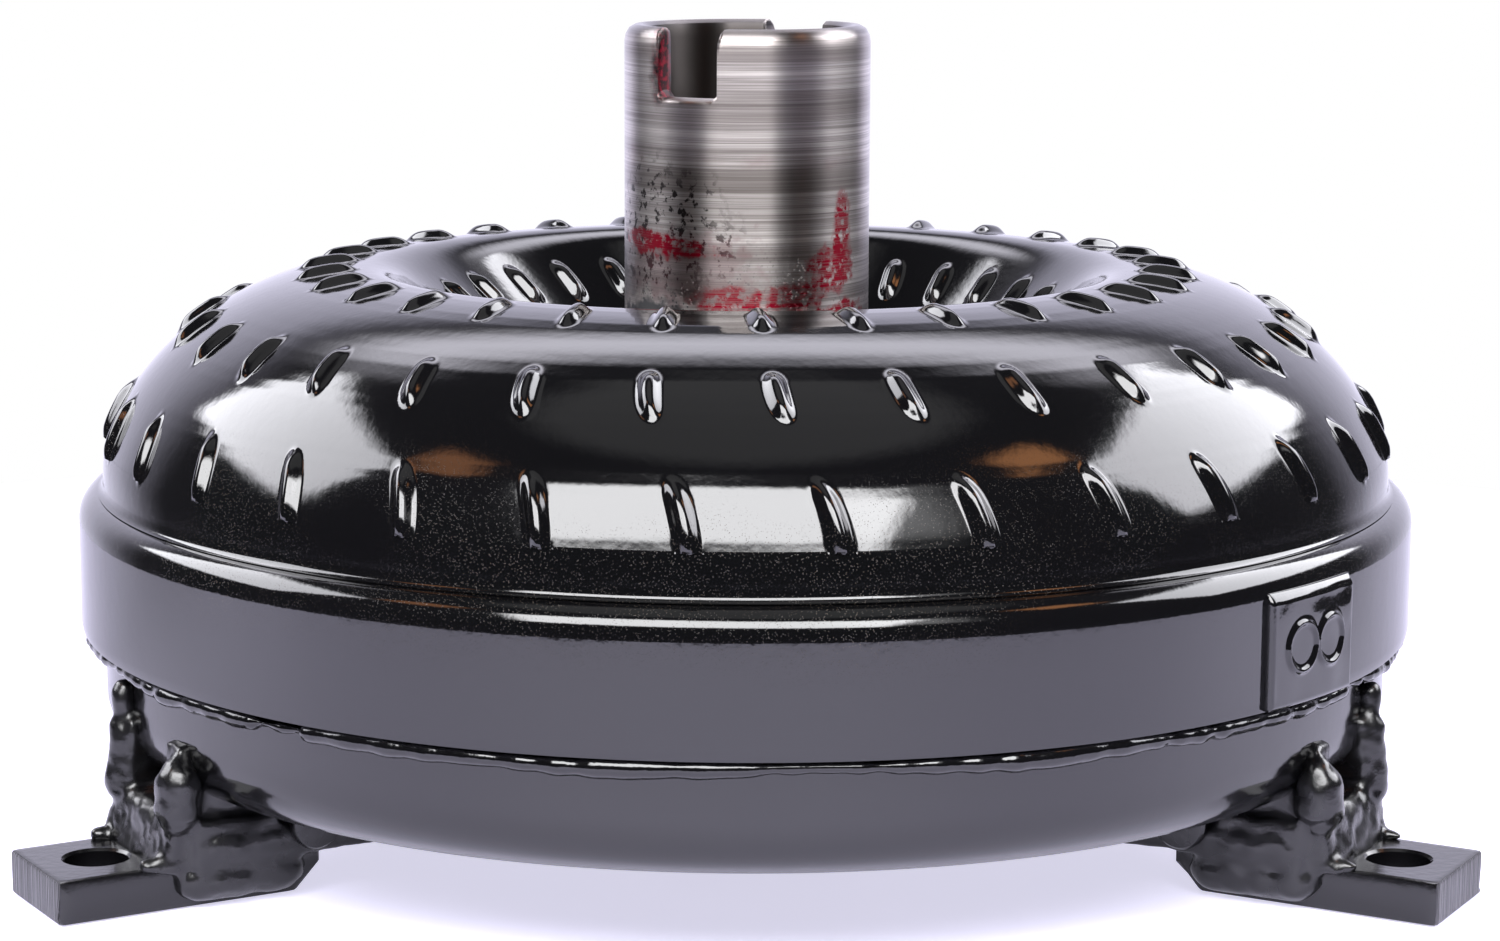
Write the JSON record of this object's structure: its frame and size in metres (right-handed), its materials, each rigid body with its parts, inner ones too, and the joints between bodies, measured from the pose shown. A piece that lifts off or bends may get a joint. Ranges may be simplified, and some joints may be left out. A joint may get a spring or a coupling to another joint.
{
  "type": "torque converter",
  "caption": "Welded non-lock-up torque converter with a dimpled dome, slotted pump-drive hub and welded mounting lugs.",
  "frame": {"origin": "centre of the flexplate bolt circle, in the plane of the lug faces that meet the flexplate", "axes": "+Z along the shaft line towards the transmission; one mounting lug points along +Y"},
  "size_m": [0.2696, 0.2779, 0.155],
  "materials": {
    "black_paint": "gloss black enamel sprayed over steel",
    "turned_steel": "turned and polished with fine lines round the axis",
    "pressed_steel": "bare pressed sheet steel, brazed, with an oil film",
    "cast_aluminium": "as-cast aluminium",
    "bearing_steel": "ground hardened steel",
    "spring_steel": "blued spring steel"
  },
  "bodies": {
    "housing": {"impeller_shell": "black_paint", "pump_hub": "turned_steel", "hub_weld": "black_paint", "front_cover": "black_paint", "crank_pilot": "black_paint", "pilot_weld": "black_paint", "closure_weld": "black_paint", "balance_plate": "black_paint", "lug_bar_1": "black_paint", "lug_bar_2": "black_paint", "lug_bar_3": "black_paint", "lug_bracket_1": "black_paint", "lug_bracket_2": "black_paint", "lug_bracket_3": "black_paint", "lug_rod_1": "black_paint", "lug_rod_2": "black_paint", "lug_rod_3": "black_paint", "lug_weld_1": "black_paint", "lug_weld_2": "black_paint", "lug_weld_3": "black_paint", "impeller_blades": "pressed_steel", "impeller_core_ring": "pressed_steel", "front_bearing_lower_race": "bearing_steel", "rear_bearing_upper_race": "bearing_steel"},
    "turbine": {"turbine_shell": "pressed_steel", "turbine_blades": "pressed_steel", "turbine_core_ring": "pressed_steel", "turbine_hub": "turned_steel", "turbine_rivets": "spring_steel", "front_bearing_upper_race": "bearing_steel", "middle_bearing_lower_race": "bearing_steel"},
    "stator": {"stator_wheel": "cast_aluminium", "clutch_outer_race": "bearing_steel", "clutch_rollers": "bearing_steel", "clutch_springs": "spring_steel", "stator_front_cap": "cast_aluminium", "stator_rear_cap": "cast_aluminium", "stator_front_snap_ring": "spring_steel", "stator_rear_snap_ring": "spring_steel", "middle_bearing_upper_race": "bearing_steel", "rear_bearing_lower_race": "bearing_steel"},
    "clutch_inner": {"clutch_inner_race": "bearing_steel"},
    "front_cage": {"front_bearing_cage": "bearing_steel", "front_bearing_needles": "bearing_steel"},
    "middle_cage": {"middle_bearing_cage": "bearing_steel", "middle_bearing_needles": "bearing_steel"},
    "rear_cage": {"rear_bearing_cage": "bearing_steel", "rear_bearing_needles": "bearing_steel"}
  },
  "joints": [
    {"name": "turbine_spin", "type": "hinge", "parent": "housing", "child": "turbine", "pos_m": [0, 0, 0.05], "axis": [0, 0, 1], "continuous": true},
    {"name": "stator_spin", "type": "hinge", "parent": "housing", "child": "stator", "pos_m": [0, 0, 0.069], "axis": [0, 0, 1], "continuous": true},
    {"name": "clutch_overrun", "type": "hinge", "parent": "stator", "child": "clutch_inner", "pos_m": [0, 0, 0.069], "axis": [0, 0, 1], "continuous": true},
    {"name": "front_cage_spin", "type": "hinge", "parent": "housing", "child": "front_cage", "pos_m": [0, 0, 0.0289], "axis": [0, 0, 1], "continuous": true},
    {"name": "middle_cage_spin", "type": "hinge", "parent": "stator", "child": "middle_cage", "pos_m": [0, 0, 0.0579], "axis": [0, 0, 1], "continuous": true},
    {"name": "rear_cage_spin", "type": "hinge", "parent": "housing", "child": "rear_cage", "pos_m": [0, 0, 0.0801], "axis": [0, 0, 1], "continuous": true}
  ],
  "couplings": [
    {"joint": "front_cage_spin", "follows": "turbine_spin", "ratio": 0.5},
    {"joint": "rear_cage_spin", "follows": "stator_spin", "ratio": 0.5},
    {"joint": "middle_cage_spin", "follows": "turbine_spin", "ratio": 0.5}
  ]
}
